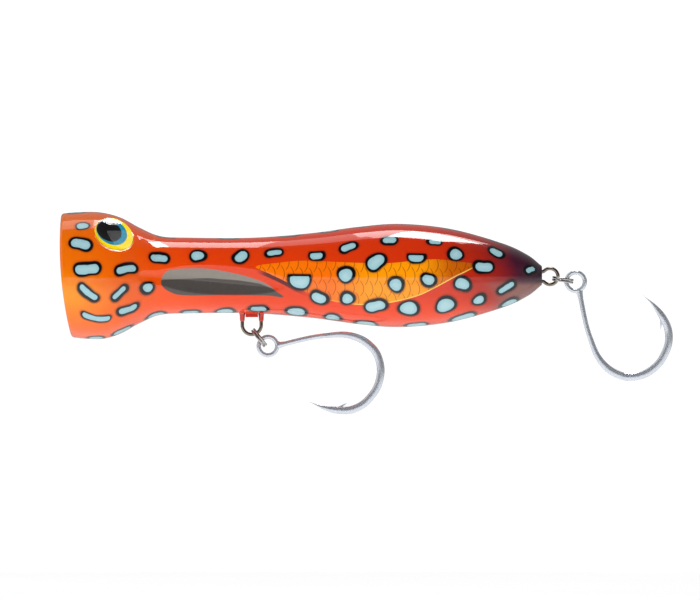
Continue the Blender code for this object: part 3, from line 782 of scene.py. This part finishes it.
def through_wire():
    """The through wire: line-tie loop, straight run, tail loop and the leg that comes back."""
    nose = arc(0, 0, NOSE_LOOP, -32, -330, 48)
    x, z, radius = TAIL_LOOP
    run = [(3.0, 0, 0.75), (3.6, 0, 0.4), (4.8, 0, 0), (20, 0, 0), (RETURN_END + 8, 0, 0)]
    run.append((TAIL_NECK, 0, 0.9))
    tail = arc(x, z, radius, 140, -140, 48)
    back = [(TAIL_NECK, 0, RETURN_Z), (RETURN_END + 9, 0, RETURN_Z), (RETURN_END, 0, RETURN_Z)]
    shape = bmesh.new()
    sweep(shape, nose + run + tail + back, (WIRE, WIRE))
    piece("through_wire_fine", shape, wire_steel, "body", ["through_wire"])


def belly_hanger():
    """The belly hanger's U, and the runs of paint down its legs."""
    x, bottom, half, top = HANGER
    foot = half + 4
    path = [(x - foot, 0, top)] + arc(x - half - 1.2, top - 1.2, 1.2, 90, 0, 8)
    path += arc(x, bottom + half, half, 180, 360, 32)
    path += arc(x + half + 1.2, top - 1.2, 1.2, 180, 90, 8) + [(x + foot, 0, top)]
    shape = bmesh.new()
    sweep(shape, path, (WIRE, WIRE))
    piece("belly_hanger_fine", shape, wire_steel, "body", ["belly_hanger"])
    for side, word in ((-1, "front"), (1, "back")):
        leg = x + side * half
        heights = (-10.8, -11.6, -12.2, -13.0, -13.7, -14.1, -14.3)
        widths = (1.25, 1.1, 0.86, 0.78, 0.76, 0.70, 0.58)
        shape = bmesh.new()
        sweep(shape, [(leg, 0, z) for z in heights], [(w, w) for w in widths])
        piece("leg_paint_" + word, shape, ground, "body")


def split_ring(name, middle, tilt):
    """Two flat turns of wire that cross in one short step, with ground ends."""
    first, last = 28, 692
    path = []
    sizes = []
    for turn in range(first, last + 1, 7):
        a = math.radians(turn)
        height = RING_PITCH * (float(ease(338, 382, turn)) - 0.5)
        path.append((RING_RADIUS * math.sin(a), RING_RADIUS * math.cos(a), height))
        ground_off = 0.45 * (1 - float(ease(0, 40, min(turn - first, last - turn))))
        sizes.append((RING_WIRE, RING_WIRE * (1 - ground_off)))
    shape = bmesh.new()
    sweep(shape, path, sizes, up=(0, 0, 1), section=oval(14, 2.4))
    move(shape, at(middle, 0, tilt))
    piece(name + "_fine", shape, ring_steel, name, [name])


# ---------------------------------------------------------------- hooks

def hook(name, spot, turn, roll):
    """A forged inline single hook: eye, shank, flattened bend and barbed point."""
    path = [(x, 0, -drop) for x, drop in smooth_line(HOOK_LINE, 8)]
    last = len(path) - 1
    sizes = []
    for i in range(last + 1):
        share = i / last
        thick = HOOK_WIRE * (0.70 + 0.34 * float(ease(0.08, 0.34, share)))
        thick *= 1 - float(ease(0.84, 1.0, share)) * 0.96
        forged = float(ease(0.12, 0.3, share)) * (1 - float(ease(0.74, 0.9, share)))
        sizes.append((thick * (1 + 0.1 * forged), thick * (1 - 0.2 * forged)))
    shape = bmesh.new()
    sweep(shape, path, sizes, section=oval(20, 2.5))
    sweep(shape, arc(0, 0, HOOK_EYE, 0, 352.5, 47), (HOOK_EYE_WIRE, HOOK_EYE_WIRE), closed=True)
    neck = [(2.45, 0, -0.3), (3.1, 0, -0.48), (4.0, 0, -0.6), (5.4, 0, -0.66)]
    sweep(shape, neck, [(1.6, 0.5), (1.25, 0.62), (0.92, 0.68), (0.76, 0.7)])
    barb = [(15.0, 0, -24.4), (16.4, 0, -24.25), (17.9, 0, -23.85), (19.3, 0, -23.4)]
    sweep(shape, barb, [(0.6, 0.5), (0.5, 0.42), (0.32, 0.26), (0.05, 0.05)])
    move(shape, at(spot, roll, turn))
    piece(name + "_forged", shape, hook_steel, name, [name])


# ---------------------------------------------------------------- inner pieces, light and camera

def dress_cad_nodes():
    """The pieces that keep their CAD shape get their finishes."""
    looks = {
        "body_shell_left": ground, "body_shell_right": ground,
        "nose_ferrule": brass, "wire_crimp": crimp_metal, "keel_weight": lead, "tail_weight": lead,
        "rattle_tube": tube_plastic, "rattle_plug": tube_plastic,
        "rattle_ball_1": ring_steel, "rattle_ball_2": ring_steel, "rattle_ball_3": ring_steel,
    }
    for name, look in looks.items():
        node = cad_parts[name]
        node.data.materials.clear()
        node.data.materials.append(look)


def area_light(name, spot, aim, wide, deep, power, glossy=True):
    """A soft light aimed at a point."""
    lamp = bpy.data.lights.new(name, "AREA")
    lamp.shape = "RECTANGLE"
    lamp.size = wide
    lamp.size_y = deep
    lamp.energy = power
    thing = bpy.data.objects.new(name, lamp)
    bpy.context.scene.collection.objects.link(thing)
    thing.location = spot
    thing.rotation_euler = (Vector(aim) - Vector(spot)).to_track_quat("-Z", "Y").to_euler()
    thing.visible_glossy = glossy
    return thing


def floor_finish():
    """A pale matt floor with a painted pool of light: it glows softly in one long patch, standing in for
    white paper under a lamp.
    """
    made, tree, shader = finish("pale_floor")
    where = coordinates(tree)[0]
    centred = add(tree, "ShaderNodeMapping", i0=where, i1=(0, 0.12, -FLOOR_Z), i3=(0.4, 1, 1)).outputs[0]
    far = add(tree, "ShaderNodeVectorMath", {"operation": "LENGTH"}, i0=centred).outputs["Value"]
    glow = calc(tree, "MULTIPLY", step(tree, far, 0.37, 0.2), 0.46)
    seen = add(tree, "ShaderNodeLightPath").outputs["Is Camera Ray"]
    glow = calc(tree, "MAXIMUM", glow, calc(tree, "MULTIPLY", seen, 0.7))
    tone = blend(tree, noise(tree, where, 6.0), rgb(246, 246, 246), rgb(252, 252, 252))
    feed(tree, shader, Base_Color=tone, Roughness=0.9, Emission_Color=tone, Emission_Strength=glow)
    return made


def floor():
    """The floor, well below the lure."""
    shape = bmesh.new()
    bmesh.ops.create_grid(shape, x_segments=1, y_segments=1, size=3.0)
    bmesh.ops.translate(shape, vec=(VIEW_MIDDLE.x, 0, FLOOR_Z), verts=shape.verts)
    mesh = bpy.data.meshes.new("floor")
    shape.to_mesh(mesh)
    shape.free()
    mesh.materials.append(floor_finish())
    thing = bpy.data.objects.new("floor", mesh)
    bpy.context.scene.collection.objects.link(thing)


def lamps():
    """Three boxes over the back that only make highlights, and two fills that light the colours."""
    middle = VIEW_MIDDLE
    long_x = middle.x + 0.075
    dim_x = long_x - 0.26
    boxes = (
        area_light("bright_box", (middle.x + 0.10, 0.12, 0.5), (middle.x + 0.05, 0, 0), 0.18, 0.2, 1.6),
        area_light("long_box", (long_x, 0.155, 0.5), (long_x, 0, 0), 0.28, 0.24, 1.15),
        area_light("dim_box", (dim_x, 0.155, 0.5), (dim_x, 0, 0), 0.24, 0.24, 0.25),
    )
    for box in boxes:
        box.visible_diffuse = False
        box.visible_transmission = False
    area_light("front_fill", (middle.x - 0.2, -1.5, 0.55), middle, 1.6, 1.0, 15.5, glossy=False)
    area_light("top_fill", (middle.x + 0.1, 0.1, 1.5), middle, 1.6, 1.0, 8.0, glossy=False)


def surround():
    """A dark front with brighter back and sides for the gloss, and plain white as the backdrop."""
    world = bpy.data.worlds.new("surround")
    bpy.context.scene.world = world
    world.use_nodes = True
    tree = world.node_tree
    where = add(tree, "ShaderNodeTexCoord").outputs["Generated"]
    axes = add(tree, "ShaderNodeSeparateXYZ", i0=where).outputs
    behind = step(tree, axes[1], -0.2, 0.5)
    raised = step(tree, calc(tree, "ABSOLUTE", axes[2]), 0.08, 0.4)
    behind = calc(tree, "MULTIPLY", behind, calc(tree, "MULTIPLY_ADD", raised, 0.9, 0.1))
    level = calc(tree, "MULTIPLY_ADD", behind, 0.34, 0.06)
    level = calc(tree, "MULTIPLY_ADD", step(tree, axes[0], -0.35, -0.8), 0.7, level)
    level = calc(tree, "MULTIPLY_ADD", step(tree, axes[0], 0.7, 0.95), 0.25, level)
    seen = add(tree, "ShaderNodeLightPath").outputs["Is Camera Ray"]
    level = calc(tree, "MAXIMUM", level, calc(tree, "MULTIPLY", seen, 1.05))
    tree.links.new(level, tree.nodes["Background"].inputs[1])
    tree.nodes["Background"].inputs[0].default_value = (1, 1, 1, 1)
    bpy.context.scene.view_settings.view_transform = "Standard"


def camera():
    """A long lens level with the lure's left flank."""
    lens_mm, film = 800.0, 36.0
    eye_piece = bpy.data.cameras.new("camera")
    eye_piece.lens = lens_mm
    eye_piece.sensor_width = film
    thing = bpy.data.objects.new("camera", eye_piece)
    bpy.context.scene.collection.objects.link(thing)
    thing.location = (VIEW_MIDDLE.x, -VIEW_WIDTH * lens_mm / film, VIEW_MIDDLE.z)
    thing.rotation_euler = (math.radians(90), 0, 0)
    bpy.context.scene.camera = thing


def main():
    camera()
    floor()
    lamps()
    surround()
    for side, word in ((-1, "left"), (1, "right")):
        coat(side, word)
        eye(side, word)
    through_wire()
    belly_hanger()
    split_ring("belly_split_ring", BELLY_RING, BELLY_RING_TILT)
    split_ring("tail_split_ring", TAIL_RING, TAIL_RING_TILT)
    hook("belly_hook", BELLY_HOOK, BELLY_HOOK_TURN, 0)
    hook("tail_hook", TAIL_HOOK, TAIL_HOOK_TURN, 180)
    dress_cad_nodes()


main()
